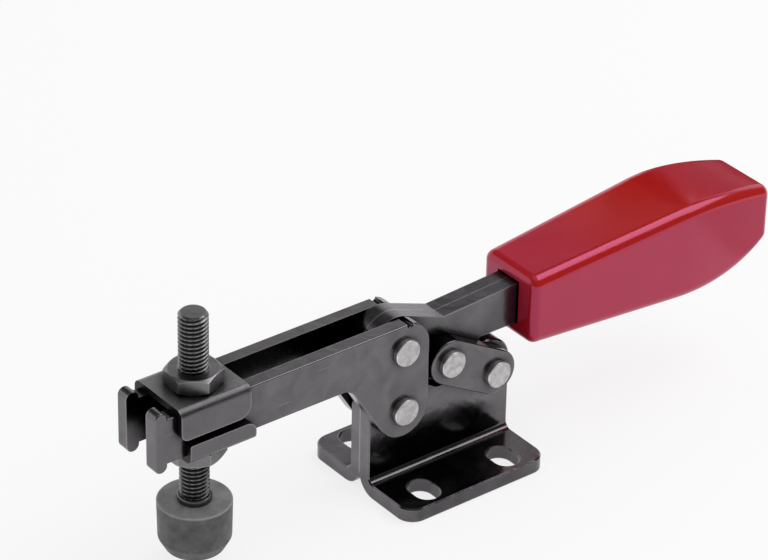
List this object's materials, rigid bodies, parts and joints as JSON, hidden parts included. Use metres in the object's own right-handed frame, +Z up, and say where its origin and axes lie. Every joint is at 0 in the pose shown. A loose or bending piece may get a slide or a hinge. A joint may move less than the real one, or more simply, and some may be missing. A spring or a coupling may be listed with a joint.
{
  "type": "horizontal toggle clamp",
  "caption": "Horizontal toggle clamp with a flanged base, over-centre linkage, twin-bar arm, adjustable rubber-capped spindle and a long plastic grip.",
  "frame": {"origin": "centre of the four bolt slots, on the underside of the base", "axes": "+X towards the grip, +Z up away from the mounting surface, +Y to the right of someone at the grip facing the spindle; XZ is the plane of symmetry"},
  "size_m": [0.2562, 0.0542, 0.0936],
  "materials": {
    "blackened_sheet_steel": "black-oxide sheet steel, lightly oiled, semi-gloss",
    "blackened_screw_steel": "black-oxide turned and threaded steel",
    "bright_pin_steel": "plain turned steel, fine turned end faces",
    "red_plastic": "glossy red moulded plastic",
    "black_rubber": "satin black rubber"
  },
  "bodies": {
    "base": {"base_bracket_left": "blackened_sheet_steel", "base_bracket_right": "blackened_sheet_steel", "arm_pivot_pin": "bright_pin_steel", "link_pivot_pin": "bright_pin_steel"},
    "arm": {"arm_plate_left": "blackened_sheet_steel", "arm_plate_right": "blackened_sheet_steel", "handle_pivot_pin": "bright_pin_steel"},
    "handle": {"handle_plate_left": "blackened_sheet_steel", "handle_plate_right": "blackened_sheet_steel", "tang_rivet_front": "bright_pin_steel", "tang_rivet_rear": "bright_pin_steel", "grip": "red_plastic"},
    "link": {"link_plate_left": "blackened_sheet_steel", "link_plate_right": "blackened_sheet_steel", "knee_pin": "bright_pin_steel"},
    "saddles": {"upper_saddle": "blackened_sheet_steel", "lower_saddle": "blackened_sheet_steel"},
    "upper_nut": {"upper_nut": "blackened_screw_steel"},
    "lower_nut": {"lower_nut": "blackened_screw_steel"},
    "spindle": {"spindle": "blackened_screw_steel", "rubber_cap": "black_rubber"}
  },
  "joints": [
    {"name": "arm_swing", "type": "hinge", "parent": "base", "child": "arm", "pos_m": [-0.0195, 0, 0.0328], "axis": [0, 1, 0], "range_deg": [0, 45]},
    {"name": "handle_swing", "type": "hinge", "parent": "arm", "child": "handle", "pos_m": [-0.0195, 0, 0.05565], "axis": [0, -1, 0], "range_deg": [0, 92.36]},
    {"name": "link_swing", "type": "hinge", "parent": "base", "child": "link", "pos_m": [0.0195, 0, 0.0328], "axis": [0, 1, 0], "range_deg": [0, 57.18]},
    {"name": "saddle_slide", "type": "slide", "parent": "arm", "child": "saddles", "axis": [1, 0, 0], "range_m": [-0.0035, 0.034]},
    {"name": "upper_nut_turn", "type": "hinge", "parent": "saddles", "child": "upper_nut", "pos_m": [-0.0962, 0, 0.0698], "axis": [0, 0, 1], "range_deg": [-3600, 1200]},
    {"name": "lower_nut_turn", "type": "hinge", "parent": "saddles", "child": "lower_nut", "pos_m": [-0.0962, 0, 0.0439], "axis": [0, 0, 1], "range_deg": [-3600, 1200]},
    {"name": "spindle_height", "type": "slide", "parent": "saddles", "child": "spindle", "axis": [0, 0, 1], "range_m": [-0.005, 0.015]}
  ],
  "couplings": [
    {"joint": "handle_swing", "follows": "arm_swing", "ratio": 2.0524},
    {"joint": "link_swing", "follows": "arm_swing", "ratio": 1.2705},
    {"joint": "lower_nut_turn", "follows": "upper_nut_turn", "ratio": 1},
    {"joint": "spindle_height", "follows": "upper_nut_turn", "m_per_rad": -0.00023873}
  ]
}
